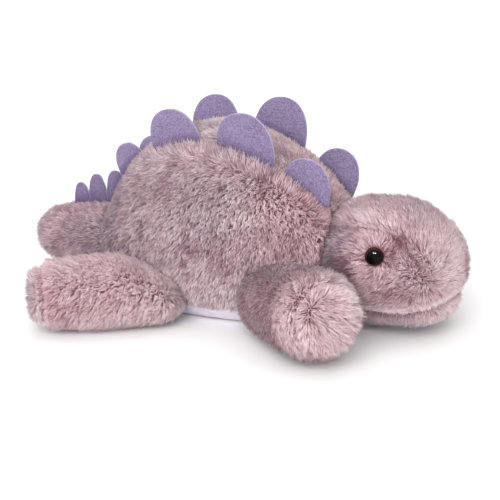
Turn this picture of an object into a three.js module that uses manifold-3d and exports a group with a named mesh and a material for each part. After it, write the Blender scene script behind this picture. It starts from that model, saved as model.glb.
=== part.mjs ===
// Stuffed toy dinosaur with a double row of felt back plates, lying on its belly.
// Millimetres, +Z up, head towards +X. The belly rests on z = 0, the toy is
// centred on the XZ plane, and the origin is the bottom centre of its box.
import * as THREE from 'three';
import { mergeVertices } from 'three/addons/utils/BufferGeometryUtils.js';
import Module from 'manifold-3d';

const wasm = await Module();
wasm.setup();

// ---- driving dimensions ---------------------------------------------------
const SHIFT_X = 3.4;              // moves the design centre to the box centre
const FABRIC = 3.0;               // pile fabric, backing and compressed pile
const GAP = 0.35;                 // seam gap between neighbouring pieces
const SOCKET = 1.4;               // clearance of a turning root in the body
const LEG_SOCKET = 2.4;           // the same at a leg
const LEG_ROOM = 1.6;             // room for a leg's shank beside the body
const LEG_IN = -5;                // degrees a leg can swing in against the body

const BODY = {
  xc: -12, rearX: 92, frontX: 99, // centre and the half lengths behind and ahead
  zc: 45, top: 81, bottom: 50,    // height of the widest level, rise and drop
  halfW: 57,
};
const GUSSET = { half: 27, front: 92, rear: -92 };   // strip between the plate rows
const BELLY_Z = 13;               // height of the seam round the belly panel

const NECK = { x: 95, z: 42, r: 41 };                // centre of the head's round rear
const HEAD = { xc: 113, zc: 45, rx: 42, rz: 37.5, halfW: 43 };
const JAW = { xc: 115, zc: 22.5, rx: 39, rz: 15.5, halfW: 36 };
const LIP_Z = 24;                 // height of the mouth seam
const HEAD_GUSSET = 23;           // half width of the strip over the head

const TAIL = { x: -97, z: 35, r: 27.5, len: 64, tip: 23 };
const TAIL_DROP = -2;             // degrees the tail points below level

const EYE = { x: 108, y: 40.6, z: 57.5, r: 6, stem: 2.2, depth: 11 };

const LEGS = {
  front: { x: 45, y: 51, z: 23.5, yaw: 41, pitch: 6, len: 72, root: 23.5, mid: 26.5, foot: 28.6 },
  rear: { x: -33, y: 61, z: 23, yaw: 145, pitch: 1.5, len: 84, root: 23, mid: 24.5, foot: 23.6 },
};

const FELT = 2.6;                 // thickness of a plate
// plates of one row: x of the middle of the base, half gap between the rows, base height,
// width, height, degrees of lean to the rear (+) and outward
const ROW = [
  { x: -69, y: 14, z: 84, w: 25, h: 26, lean: 24, out: 6 },
  { x: -31, y: 26, z: 102, w: 37, h: 36, lean: 10, out: 8 },
  { x: 17, y: 27, z: 101, w: 40, h: 38, lean: 2, out: 8 },
  { x: 56, y: 22, z: 81, w: 33, h: 31, lean: -10, out: 8 },
];
// rump and tail plates stand on the middle line
const TAIL_PLATES = [
  { x: -124.3, z: 54, w: 11, h: 18.5, lean: 3 },
  { x: -111.2, z: 56, w: 13, h: 24, lean: 1 },
  { x: -94.5, z: 60, w: 14.5, h: 24, lean: 5 },
];

// ---- materials --------------------------------------------------------------
const mat = (color, roughness = 0.95, metalness = 0) =>
  new THREE.MeshStandardMaterial({ color, roughness, metalness });
const fur = mat(0xbfa6af);
const furTop = mat(0xc9b1ba);
const bellyCloth = mat(0xdcd8e4, 0.85);
const felt = mat(0xa595c8, 1.0);
const fill = mat(0xf4f2ee, 1.0);
const eyePlastic = mat(0x140d0c, 0.08);
const washerPlastic = mat(0xe8e6e0, 0.45);

// ---- solids -------------------------------------------------------------------
const D = Math.PI / 180;
const object = new THREE.Group();

function solid(geometry) {
  const g = geometry.clone();
  g.deleteAttribute('normal');
  g.deleteAttribute('uv');
  const m = mergeVertices(g, 1e-4);
  return new wasm.Manifold(new wasm.Mesh({
    numProp: 3,
    vertProperties: new Float32Array(m.attributes.position.array),
    triVerts: new Uint32Array(m.index.array),
  }));
}

function geometryOf(manifold) {
  const mesh = manifold.getMesh();
  const g = new THREE.BufferGeometry();
  g.setAttribute('position', new THREE.BufferAttribute(new Float32Array(mesh.vertProperties), 3));
  g.setIndex(new THREE.BufferAttribute(new Uint32Array(mesh.triVerts), 1));
  g.computeVertexNormals();
  return g;
}

function piece(name, manifold, material) {
  const parts = manifold.decompose().sort((a, b) => b.volume() - a.volume());
  const mesh = new THREE.Mesh(geometryOf(parts[0]), material);
  mesh.name = name;
  object.add(mesh);
  return mesh;
}

// a unit sphere with its poles on X, each point moved by shape(x, y, z)
function blob(around, along, shape) {
  const g = new THREE.SphereGeometry(1, around, along);
  g.rotateZ(-Math.PI / 2);
  const p = g.attributes.position;
  for (let i = 0; i < p.count; i++) {
    const q = shape(p.getX(i), p.getY(i), p.getZ(i));
    p.setXYZ(i, q[0], q[1], q[2]);
  }
  return solid(g);
}

function ball(r, x, y, z, n = 20) {
  const g = new THREE.SphereGeometry(r, n, Math.round(n * 0.6));
  g.translate(x, y, z);
  return solid(g);
}

function block(x0, y0, z0, x1, y1, z1) {
  const g = new THREE.BoxGeometry(x1 - x0, y1 - y0, z1 - z0);
  g.translate((x0 + x1) / 2, (y0 + y1) / 2, (z0 + z1) / 2);
  return solid(g);
}

const round = (t, p) => Math.pow(Math.max(0, 1 - Math.pow(Math.abs(t), p)), 1 / p);
const floorCut = block(-250, -250, -60, 250, 250, 0);

// ---- limbs ----------------------------------------------------------------------
// profile of a round limb along +X: round root about the origin, waist, rounded end
function limbProfile(L, inset) {
  const pts = [];
  const root = L.root - inset, foot = L.foot - inset, mid = L.mid - inset;
  const cap = Math.min(foot, L.cap ?? 14);
  pts.push([0, -root]);
  for (let i = 1; i <= 3; i++) {
    const a = i * 22.5 * D;
    pts.push([root * Math.sin(a), -root * Math.cos(a)]);
  }
  pts.push([root, 0]);
  pts.push([mid, L.len * 0.35]);
  const end = L.len - inset;
  const c0 = end - cap;
  pts.push([foot, c0 - 1]);
  for (const a of [30, 60]) pts.push([foot - cap + cap * Math.cos(a * D) * 1.0, c0 + cap * Math.sin(a * D)]);
  pts.push([Math.max(0.0, (foot - cap) * 0.5), end + 0.6]);
  pts.push([0, end + 0.9]);
  return pts;
}
function limb(L, inset, n) {
  const g = new THREE.LatheGeometry(limbProfile(L, inset).map(([r, y]) => new THREE.Vector2(r, y)), n);
  g.rotateZ(-Math.PI / 2);
  return g;
}
// a leg in place, turned away from the body by that many degrees from rest
function limbSolid(p, inset, n, turn = 0) {
  const g = limb(p, inset, n);
  g.rotateY(-p.pitch * D);
  g.rotateZ((p.yawDeg + p.out * turn) * D);
  g.translate(p.x, p.y, p.z);
  return solid(g);
}

// ---- body -----------------------------------------------------------------------
// inset pulls the whole surface in by that much
function bodyShape(inset) {
  return (ux, uy, uz) => {
    const half = ux < 0 ? BODY.rearX : BODY.frontX;
    const rr = Math.hypot(uy, uz) || 1e-9;
    const cy = uy / rr, cz = uz / rr;
    const k = (half - inset) / half;
    const x = BODY.xc + half * ux * k;
    const wide = (BODY.halfW - inset) * round(ux, 2.2);
    const high = cz >= 0 ? (BODY.top - inset) * round(ux, 1.75) : (BODY.bottom - inset) * round(ux, 2.8);
    const q = cz >= 0 ? 2.05 : 3.6;
    const n = Math.pow(Math.pow(Math.abs(cy), q) + Math.pow(Math.abs(cz), q), 1 / q);
    return [x, wide * cy / n, BODY.zc + high * cz / n];
  };
}

const legPlace = (which, side) => {
  const L = LEGS[which];
  // out: sense of the turn about +Z that takes the foot away from the body
  return { ...L, y: side * L.y, yawDeg: side * L.yaw, out: which === 'front' ? side : -side };
};
const sides = { right: -1, left: 1 };

function sockets(extra, n = 1, shanks = true) {
  let s = ball(NECK.r + SOCKET + extra, NECK.x, 0, NECK.z, 20 * n);
  s = s.add(ball(TAIL.r + SOCKET + extra, TAIL.x, 0, TAIL.z, 16 * n));
  for (const which of ['front', 'rear']) {
    for (const side of [-1, 1]) {
      const p = legPlace(which, side);
      s = s.add(ball(p.root + LEG_SOCKET + extra, p.x, p.y, p.z, Math.round(12 * n)));
      // room for the shank, at rest and swung in against the body
      if (shanks) for (const turn of [0, LEG_IN]) s = s.add(limbSolid(p, -LEG_ROOM - extra, 10, turn));
    }
  }
  return s;
}

// the plate strip's outline seen from above, wider by extra
function stripTool(extra) {
  const h = GUSSET.half + extra;
  const s = new THREE.Shape();
  const pts = [[GUSSET.rear - extra, 4 + extra], [-78, 13 + extra], [-55, 21 + extra], [-28, h - 1],
    [15, h], [45, 23 + extra], [70, 17 + extra], [GUSSET.front + extra, 13 + extra]];
  s.moveTo(pts[0][0], -pts[0][1]);
  for (const [x, y] of pts.slice(1)) s.lineTo(x, -y);
  for (const [x, y] of pts.slice().reverse()) s.lineTo(x, y);
  s.closePath();
  const g = new THREE.ExtrudeGeometry(s, { depth: 110, bevelEnabled: false });
  g.translate(0, 0, 45);
  return solid(g);
}

const bodyOuter = blob(26, 16, bodyShape(0)).subtract(floorCut);
const bodyInner = blob(18, 10, bodyShape(FABRIC)).subtract(block(-250, -250, -60, 250, 250, FABRIC));
const bodySkin = bodyOuter.subtract(bodyInner).subtract(sockets(0));

const lower = block(-250, -250, -10, 250, 250, BELLY_Z);
piece('belly_panel', bodySkin.intersect(lower), bellyCloth);
piece('back_gusset', bodySkin.intersect(stripTool(0)), furTop);
const sidesOnly = bodySkin
  .subtract(block(-250, -250, -10, 250, 250, BELLY_Z + GAP))
  .subtract(stripTool(GAP));
piece('body_side_right', sidesOnly.subtract(block(-250, -GAP / 2, -10, 250, 250, 200)), fur);
piece('body_side_left', sidesOnly.subtract(block(-250, -250, -10, 250, GAP / 2, 200)), fur);

const bodyFill = blob(18, 10, bodyShape(FABRIC + 1))
  .subtract(block(-250, -250, -60, 250, 250, FABRIC + GAP))
  .subtract(sockets(4.2, 0.7, false));
piece('body_stuffing', bodyFill, fill);

// ---- head -------------------------------------------------------------------------
function headShape(inset) {
  return (ux, uy, uz) => {
    const n = Math.pow(Math.pow(Math.abs(ux), 2.3) + Math.pow(Math.abs(uy), 2.3) + Math.pow(Math.abs(uz), 2.3), 1 / 2.3);
    return [HEAD.xc + (HEAD.rx - inset) * ux / n, (HEAD.halfW - inset) * uy / n, HEAD.zc + (HEAD.rz - inset) * uz / n];
  };
}
function jawShape(inset) {
  return (ux, uy, uz) => {
    const n = Math.pow(Math.pow(Math.abs(ux), 2.5) + Math.pow(Math.abs(uy), 2.5) + Math.pow(Math.abs(uz), 2.5), 1 / 2.5);
    return [JAW.xc + (JAW.rx - inset) * ux / n, (JAW.halfW - inset) * uy / n, JAW.zc + (JAW.rz - inset) * uz / n];
  };
}
// the head keeps clear of the body: nothing of it lies behind its round rear
const behindNeck = block(-250, -250, -60, NECK.x, 250, 250).subtract(ball(NECK.r, NECK.x, 0, NECK.z, 20));
const headOuter = blob(20, 12, headShape(0))
  .add(blob(16, 8, jawShape(0)))
  .add(ball(NECK.r, NECK.x, 0, NECK.z, 20))
  .subtract(behindNeck)
  .subtract(floorCut);
const headInner = blob(14, 8, headShape(FABRIC))
  .add(blob(10, 6, jawShape(FABRIC)))
  .add(ball(NECK.r - FABRIC, NECK.x, 0, NECK.z, 14))
  .subtract(block(-250, -250, -60, NECK.x, 250, 250).subtract(ball(NECK.r - FABRIC, NECK.x, 0, NECK.z, 14)));
const headSkin = headOuter.subtract(headInner);
const headStrip = (extra) => block(NECK.x - 60, -HEAD_GUSSET - extra, 50 - extra, 200, HEAD_GUSSET + extra, 120);

function socketFor(side, extra) {
  const g = new THREE.CylinderGeometry(EYE.stem + extra, EYE.stem + extra, EYE.depth + 12, 12);
  g.translate(EYE.x, side * (EYE.y - EYE.depth / 2), EYE.z);
  return solid(g);
}
function eyeDome(side, extra) {
  const r = EYE.r + extra;
  const s = new THREE.SphereGeometry(1, 12, 8);
  s.scale(r, 3.9 + extra, r);
  s.translate(EYE.x, side * EYE.y, EYE.z);
  return solid(s);
}
const eyeHoles = (extra) => socketFor(-1, extra).add(socketFor(1, extra)).add(eyeDome(-1, extra)).add(eyeDome(1, extra));

const headPieces = headSkin.subtract(eyeHoles(GAP));
const aboveLip = headPieces.subtract(block(0, -100, -10, 250, 100, LIP_Z + GAP));
piece('head_top_gusset', aboveLip.intersect(headStrip(0)), furTop);
const cheeks = aboveLip.subtract(headStrip(GAP));
piece('head_side_right', cheeks.subtract(block(0, -GAP / 2, -10, 250, 100, 200)), fur);
piece('head_side_left', cheeks.subtract(block(0, -100, -10, 250, GAP / 2, 200)), fur);
piece('chin_panel', headPieces.intersect(block(0, -100, -10, 250, 100, LIP_Z)), fur);

for (const [name, side] of Object.entries(sides)) {
  // safety eye: a domed front on a stem that passes through the fabric
  const g = new THREE.CylinderGeometry(EYE.stem, EYE.stem, EYE.depth, 12);
  g.translate(EYE.x, side * (EYE.y - EYE.depth / 2 - 0.2), EYE.z);
  piece(`eye_${name}`, eyeDome(side, 0).add(solid(g)), eyePlastic);
  // washer pressed on the stem behind the fabric
  const profile = [[EYE.stem + 0.25, -0.7], [5.6, -0.7], [5.6, 0.7], [EYE.stem + 0.25, 0.7], [EYE.stem + 0.25, -0.7]]
    .map(([r, y]) => new THREE.Vector2(r, y));
  const w = new THREE.LatheGeometry(profile, 16);
  w.translate(EYE.x, side * (EYE.y - 8.4), EYE.z);
  piece(`eye_washer_${name}`, solid(w), washerPlastic);
}

const washerRoom = (side) => {
  const g = new THREE.CylinderGeometry(6.4, 6.4, 7, 12);
  g.translate(EYE.x, side * (EYE.y - 10), EYE.z);
  return solid(g);
};
const headFill = blob(14, 8, headShape(FABRIC + 1))
  .add(blob(10, 6, jawShape(FABRIC + 1)))
  .add(ball(NECK.r - FABRIC - 1, NECK.x, 0, NECK.z, 14))
  .subtract(block(-250, -250, -60, NECK.x, 250, 250).subtract(ball(NECK.r - FABRIC - 1, NECK.x, 0, NECK.z, 14)))
  .subtract(washerRoom(-1)).subtract(washerRoom(1))
  .subtract(eyeHoles(1.0));
piece('head_stuffing', headFill, fill);

// ---- tail ----------------------------------------------------------------------------
const tailL = { root: TAIL.r, mid: 26, foot: TAIL.tip, len: TAIL.len, cap: 20 };
function tailSolid(inset, n) {
  const g = limb(tailL, inset, n);
  g.rotateY(-TAIL_DROP * D);
  g.rotateZ(Math.PI);
  g.translate(TAIL.x, 0, TAIL.z);
  return solid(g);
}
const tailOuter = tailSolid(0, 16).subtract(floorCut);
const tailSkin = tailOuter.subtract(tailSolid(FABRIC, 10));
piece('tail_right', tailSkin.subtract(block(-250, -GAP / 2, -10, 250, 100, 200)), fur);
piece('tail_left', tailSkin.subtract(block(-250, -100, -10, 250, GAP / 2, 200)), fur);
piece('tail_stuffing', tailSolid(FABRIC + 1.4, 10), fill);

// ---- legs ----------------------------------------------------------------------------
for (const which of ['front', 'rear']) {
  for (const [name, side] of Object.entries(sides)) {
    const p = legPlace(which, side);
    const put = (inset, n) => limbSolid(p, inset, n);
    const endPlane = (at) => {
      const g = new THREE.BoxGeometry(200, 200, 200);
      g.translate(at + 100, 0, 0);
      g.rotateY(-p.pitch * D);
      g.rotateZ(p.yawDeg * D);
      g.translate(p.x, p.y, p.z);
      return solid(g);
    };
    const skin = put(0, 14).subtract(put(FABRIC, 8)).subtract(floorCut);
    piece(`${which}_leg_${name}_sleeve`, skin.subtract(endPlane(p.len - 9)), fur);
    piece(`${which}_leg_${name}_sole`, skin.intersect(endPlane(p.len - 9 + GAP)), furTop);
    piece(`${which}_leg_${name}_stuffing`, put(FABRIC + 1.4, 8), fill);
  }
}

// ---- felt plates -------------------------------------------------------------------------
// a rounded leaf standing on its base
function leaf(w, h) {
  const s = new THREE.Shape();
  const r = w / 2;
  s.moveTo(-r * 0.86, 0);
  s.bezierCurveTo(-r * 1.15, h * 0.42, -r * 0.92, h, 0, h);
  s.bezierCurveTo(r * 0.92, h, r * 1.15, h * 0.42, r * 0.86, 0);
  s.closePath();
  return s;
}
function plate(name, P, side) {
  const g = new THREE.ExtrudeGeometry(leaf(P.w, P.h), { depth: FELT, bevelEnabled: false, curveSegments: 7 });
  g.translate(0, 0, -FELT / 2);
  g.rotateX(Math.PI / 2);           // stands in the XZ plane
  g.rotateY(-P.lean * D);
  g.rotateX(side * -(P.out ?? 0) * D);
  g.translate(P.x, side * (P.y ?? 0), P.z);
  return piece(name, solid(g).subtract(bodyOuter.add(tailOuter)
    .add(bodyOuter.translate([0, 0, GAP])).add(tailOuter.translate([0, 0, GAP]))), felt);
}
// the left row sits a little further forward, and its front plate a little lower
ROW.forEach((P, i) => {
  plate(`plate_right_${i + 1}`, P, -1);
  plate(`plate_left_${i + 1}`, { ...P, x: P.x + [1, 2.5, 0, 1][i], z: P.z - [1, 0, 0, 3.5][i] }, 1);
});
TAIL_PLATES.forEach((P, i) => plate(`plate_tail_${i + 1}`, P, 0));

object.position.x = SHIFT_X;
object.updateMatrixWorld(true);

export default object;
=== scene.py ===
"""Looks of the stuffed plated dinosaur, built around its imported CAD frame.

Lengths below are in millimetres and in the part's own design frame; place() takes them to the row frame in metres.
The covers are puffed up with a cloth simulation, and the pile is real geometry: tapered, curved tufts.
"""

import math

import bpy
import numpy as np
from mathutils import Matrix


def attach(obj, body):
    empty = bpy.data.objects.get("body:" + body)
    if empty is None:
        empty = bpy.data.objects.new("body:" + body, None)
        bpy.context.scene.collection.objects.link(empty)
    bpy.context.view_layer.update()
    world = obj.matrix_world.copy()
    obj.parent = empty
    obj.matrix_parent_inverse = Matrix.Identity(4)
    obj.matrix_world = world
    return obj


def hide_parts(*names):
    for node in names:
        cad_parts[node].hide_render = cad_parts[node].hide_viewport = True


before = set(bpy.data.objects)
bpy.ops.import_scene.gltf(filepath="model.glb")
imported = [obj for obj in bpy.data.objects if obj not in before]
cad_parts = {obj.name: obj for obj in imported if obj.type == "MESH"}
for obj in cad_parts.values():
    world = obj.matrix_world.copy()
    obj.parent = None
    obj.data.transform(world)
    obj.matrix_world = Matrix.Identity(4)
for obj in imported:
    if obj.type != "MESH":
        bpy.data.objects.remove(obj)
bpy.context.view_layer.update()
scene = bpy.context.scene

# ---- dimensions, the same as the part's ------------------------------------------------
SHIFT_X = 3.4
NECK, NECK_R = np.array([95.0, 0.0, 42.0]), 41.0
TAIL, TAIL_R = np.array([-97.0, 0.0, 35.0]), 27.5
BELLY_Z = 13.0
EYE = np.array([108.0, 40.6, 57.5])
LIMBS = {
    "front": dict(x=46, y=51, z=23.5, yaw=38.5, pitch=7.6, len=72, root=23.5, mid=26.4, foot=27.9, cap=12),
    "rear": dict(x=-33, y=61, z=23, yaw=145, pitch=1.5, len=80.8, root=23, mid=24.5, foot=23.0, cap=9, slope=(27.0, 25.0, 0.62)),
}
TAIL_LIMB = dict(x=-97, y=0, z=35, yaw=180, pitch=-2, len=64, root=27.5, mid=26, foot=23, cap=20)
FELT = 2.6
ROW = [
    dict(x=-69, y=14, z=84, w=25, h=26, lean=24, out=6),
    dict(x=-31, y=26, z=102, w=37, h=36, lean=10, out=8),
    dict(x=17, y=27, z=101, w=40, h=38, lean=2, out=8),
    dict(x=56, y=22, z=81, w=33, h=31, lean=-10, out=8),
]
TAIL_PLATES = [
    dict(x=-124.3, y=0, z=54, w=11, h=18.5, lean=3, out=0),
    dict(x=-111.2, y=0, z=56, w=13, h=24, lean=1, out=0),
    dict(x=-94.5, y=0, z=60, w=14.5, h=24, lean=5, out=0),
]
STRIP_X = np.array([-92, -78, -55, -28, 15, 45, 70, 92.0])
STRIP_Y = np.array([4, 13, 21, 26, 27, 23, 17, 13.0])

HEAD_STRIP_X = np.array([35, 78, 84, 98, 108.5, 119, 132, 139, 250.0])
HEAD_STRIP_Y = np.array([20, 20, 21.5, 23.5, 27.4, 29.2, 30, 30, 30.0])
LIP_X = np.array([-60, 100, 116, 128, 139, 148, 153, 250.0])
LIP_Z = np.array([20.4, 20.4, 20.4, 21.4, 23.8, 27.0, 29.2, 29.2])

SKIN = 3.1  # how far the cloth under the pile lies inside the outline of the pile
PUFF = 2.3  # how far the stuffing may swell it
DENSITY = 2.95  # tufts to a square millimetre


# ---- numbers -------------------------------------------------------------------------
def unit(v):
    return v / np.maximum(np.linalg.norm(v, axis=-1, keepdims=True), 1e-9)


def smooth(t):
    t = np.clip(t, 0, 1)
    return t * t * (3 - 2 * t)


def rounded(t, p):
    return np.maximum(0, 1 - np.abs(t) ** p) ** (1 / p)


def hashed(cells, seed):
    """A number from 0 to 1 for each integer cell."""
    c = cells.astype(np.int64)
    h = c[..., 0] * 73856093 ^ c[..., 1] * 19349663 ^ c[..., 2] * 83492791 ^ (seed * 2654435761 & 0x7FFFFFFF)
    h = (h ^ (h >> 13)) * 1274126177 & 0x7FFFFFFFFFFF
    h = (h ^ (h >> 16)) * 668265263 & 0x7FFFFFFFFFFF
    return ((h ^ (h >> 15)) & 0xFFFFF) / float(0xFFFFF)


def noise(p, size, seed):
    """Smooth noise from -1 to 1 with that grain size."""
    q = p / size + 1000.0
    i = np.floor(q)
    f = q - i
    f = f * f * (3 - 2 * f)
    out = 0
    for dx in (0, 1):
        for dy in (0, 1):
            for dz in (0, 1):
                w = (f[:, 0] if dx else 1 - f[:, 0]) * (f[:, 1] if dy else 1 - f[:, 1]) * (f[:, 2] if dz else 1 - f[:, 2])
                out = out + w * hashed(i + np.array([dx, dy, dz]), seed)
    return out * 2 - 1


def clumps(p, size, seed):
    """For each point, the nearest of a field of jittered centres, and a number for that centre."""
    base = np.floor(p / size)
    best = np.full(len(p), 1e9)
    centre, key = np.zeros_like(p), np.zeros((len(p), 3))
    for dx in (-1, 0, 1):
        for dy in (-1, 0, 1):
            for dz in (-1, 0, 1):
                c = base + np.array([dx, dy, dz])
                at = (c + np.stack([hashed(c, seed + k) for k in (1, 2, 3)], 1)) * size
                d = ((at - p) ** 2).sum(1)
                m = d < best
                best[m], centre[m], key[m] = d[m], at[m], c[m]
    return centre, key, np.sqrt(best)


# ---- shapes ----------------------------------------------------------------------------
def turn(limb, p, back=False):
    """Takes points of a limb lying along +X to its place, or back."""
    a, b = math.radians(limb["yaw"]), -math.radians(limb["pitch"])
    rz = np.array([[math.cos(a), -math.sin(a), 0], [math.sin(a), math.cos(a), 0], [0, 0, 1]])
    ry = np.array([[math.cos(b), 0, math.sin(b)], [0, 1, 0], [-math.sin(b), 0, math.cos(b)]])
    m = rz @ ry
    at = np.array([limb["x"], limb["y"], limb["z"]], float)
    return (p - at) @ m if back else p @ m.T + at


def placed(which, side, swing=0.0):
    """A leg's numbers on one side (-1 is right), swung out by some degrees."""
    L = dict(LIMBS[which])
    out = side if which == "front" else -side
    L.update(y=side * L["y"], yaw=side * L["yaw"] + out * swing)
    return L


def limb_radius(L, x, inset):
    """Radius of the limb at x along it."""
    root, mid, foot = L["root"] - inset, L["mid"] - inset, L["foot"] - inset
    end, cap = L["len"] - inset, L["cap"]
    a, b = 0.38 * L["len"], end - cap
    r = np.where(x < a, root + (mid - root) * smooth(x / a), mid + (foot - mid) * smooth((x - a) / (b - a)))
    r = np.where(x < 0, np.sqrt(np.maximum(root**2 - x**2, 0)), r)
    c = np.clip((x - b) / cap, 0, 1)
    return np.where(x > b, foot - cap + cap * np.sqrt(1 - c * c), r)


def sloped(L, q, inset):
    """Height of the slope that the flank presses on a rear leg's inner end."""
    x0, z0, k = L["slope"]
    return z0 - inset + (q[:, 0] - x0) * k


def limb_depth(L, p, inset):
    """Signed distance, about, from the limb's surface; inside is negative."""
    q = turn(L, p, True)
    r = np.hypot(q[:, 1], q[:, 2])
    end = L["len"] - inset
    shank = np.maximum(r - limb_radius(L, np.clip(q[:, 0], 0, end - 0.01), inset), q[:, 0] - end)
    ball = np.linalg.norm(q, axis=1) - (L["root"] - inset)
    d = np.where(q[:, 0] < 0, ball, shank)
    return np.maximum(d, (q[:, 2] - sloped(L, q, inset)) * 0.9) if "slope" in L else d


def body_depth(p, inset):
    half = np.where(p[:, 0] < -12, 92.0, 99.0) - inset
    t = np.clip((p[:, 0] + 12) / half, -0.9995, 0.9995)
    up = p[:, 2] >= 45
    wide = (57 - inset) * rounded(t, 2.2)
    high = np.where(up, (81 - inset) * rounded(t, 1.75), (50 - inset) * rounded(t, 2.8))
    q = np.where(up, 2.05, 3.6)
    f = ((np.abs(p[:, 1]) / wide) ** q + (np.abs(p[:, 2] - 45) / high) ** q) ** (1 / q)
    r = np.hypot(p[:, 1], p[:, 2] - 45)
    return np.where(f > 1e-6, r - r / np.maximum(f, 1e-6), -high)


def egg_depth(p, centre, radii, e):
    d = (p - centre) / radii
    f = np.maximum((np.abs(d) ** e).sum(1) ** (1 / e), 1e-6)
    return np.linalg.norm(p - centre, axis=1) * (1 - 1 / f)


def head_depth(p, inset):
    ball = np.linalg.norm(p - NECK, axis=1) - (NECK_R - inset)
    top = egg_depth(p, np.array([113, 0, 45.0]), np.array([42, 43, 37.5]) - inset, 2.3)
    jaw = egg_depth(p, np.array([115, 0, 22.5]), np.array([39, 36, 15.5]) - inset, 2.5)
    both = np.where(p[:, 0] > NECK[0], np.minimum(top, jaw), 99.0)
    return np.minimum(ball, both)


def head_edge(p):
    """How far sideways a point lies outside the strip over the forehead and nose."""
    return np.abs(p[:, 1]) - np.interp(p[:, 0], HEAD_STRIP_X, HEAD_STRIP_Y)


def over_lip(p):
    """Height over the mouth seam, which rises towards the front."""
    return p[:, 2] - np.interp(p[:, 0], LIP_X, LIP_Z)


def strip_edge(p):
    """How far sideways a point lies outside the strip between the plate rows."""
    return np.abs(p[:, 1]) - np.interp(p[:, 0], STRIP_X, STRIP_Y)


# ---- meshes ------------------------------------------------------------------------------
def place(p):
    p = np.asarray(p, float)
    return (p + np.array([SHIFT_X, 0, 0])) / 1000.0


def mesh_object(name, points, faces):
    me = bpy.data.meshes.new(name)
    me.from_pydata(place(points).tolist(), [], faces)
    me.validate()
    me.update()
    ob = bpy.data.objects.new(name, me)
    scene.collection.objects.link(ob)
    return ob


def points_of(ob):
    co = np.zeros(len(ob.data.vertices) * 3)
    ob.data.vertices.foreach_get("co", co)
    return co.reshape(-1, 3) * 1000.0 - np.array([SHIFT_X, 0, 0])


def set_points(ob, p):
    ob.data.vertices.foreach_set("co", place(p).ravel())
    ob.data.update()


def normals_of(ob):
    n = np.zeros(len(ob.data.vertices) * 3, np.float32)
    ob.data.vertex_normals.foreach_get("vector", n)
    return n.reshape(-1, 3).astype(float)


def settle(ob):
    """Applies what modifiers the object has."""
    dg = bpy.context.evaluated_depsgraph_get()
    me = bpy.data.meshes.new_from_object(ob.evaluated_get(dg))
    old = ob.data
    ob.modifiers.clear()
    ob.data = me
    bpy.data.meshes.remove(old)
    return ob


def remesh(ob, voxel, rounds=2):
    m = ob.modifiers.new("remesh", "REMESH")
    m.mode = "VOXEL"
    m.voxel_size = voxel / 1000.0
    m.use_smooth_shade = True
    if rounds:
        s = ob.modifiers.new("smooth", "SMOOTH")
        s.factor, s.iterations = 0.5, rounds
    return settle(ob)


def boolean(ob, tool, operation, keep_tool=False):
    m = ob.modifiers.new("cut", "BOOLEAN")
    m.operation, m.object, m.solver = operation, tool, "MANIFOLD"
    settle(ob)
    if not keep_tool:
        bpy.data.objects.remove(tool)
    return ob


def copy(ob, name):
    other = bpy.data.objects.new(name, ob.data.copy())
    scene.collection.objects.link(other)
    return other


def lathe(profile, n):
    """A closed solid of revolution about X, from (x, radius) pairs that start and end on the axis."""
    a = np.arange(n) * 2 * np.pi / n
    pts, faces = [[profile[0][0], 0, 0]], []
    for x, r in profile[1:-1]:
        pts += [[x, r * math.cos(t), r * math.sin(t)] for t in a]
    pts.append([profile[-1][0], 0, 0])
    rings = len(profile) - 2
    at = lambda k, i: 1 + k * n + i % n
    for i in range(n):
        faces.append((0, at(0, i + 1), at(0, i)))
        for k in range(rings - 1):
            faces.append((at(k, i), at(k, i + 1), at(k + 1, i + 1), at(k + 1, i)))
        faces.append((at(rings - 1, i), at(rings - 1, i + 1), len(pts) - 1))
    return np.array(pts), faces


def annulus(profile, n):
    """A closed ring about X from a closed loop of (x, radius) pairs."""
    a, k = np.arange(n) * 2 * np.pi / n, len(profile)
    pts = [[x, r * math.cos(t), r * math.sin(t)] for x, r in profile for t in a]
    at = lambda j, i: (j % k) * n + i % n
    return np.array(pts), [(at(j, i), at(j + 1, i), at(j + 1, i + 1), at(j, i + 1)) for j in range(k) for i in range(n)]


def sphere_grid(n, m):
    """Unit vectors and faces of a ball with its poles on X."""
    prof = [(-math.cos(k * math.pi / m), math.sin(k * math.pi / m)) for k in range(m + 1)]
    return lathe(prof, n)


def limb_mesh(name, L, inset, n=44, dome=1.6):
    root = L["root"] - inset
    prof = [(-root, 0)] + [(-root * math.cos(a), root * math.sin(a)) for a in np.radians(np.arange(9, 82, 9))]
    end, cap = L["len"] - inset, L["cap"]
    for x in np.linspace(0, end - cap, 18):
        prof.append((x, float(limb_radius(L, np.array([x]), inset)[0])))
    foot = L["foot"] - inset
    for a in np.radians(np.arange(12, 91, 13)):
        prof.append((end - cap + cap * math.sin(a), foot - cap + cap * math.cos(a)))
    for s in (0.75, 0.5, 0.25):
        prof.append((end + dome * (1 - s * s), (foot - cap) * s))
    prof.append((end + dome, 0))
    pts, faces = lathe(prof, n)
    if "slope" in L:
        z = sloped(L, pts, inset)
        pts[:, 2] = np.where(pts[:, 2] > z, z + 0.12 * (pts[:, 2] - z), pts[:, 2])
    return mesh_object(name, turn(L, pts), faces)


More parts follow.
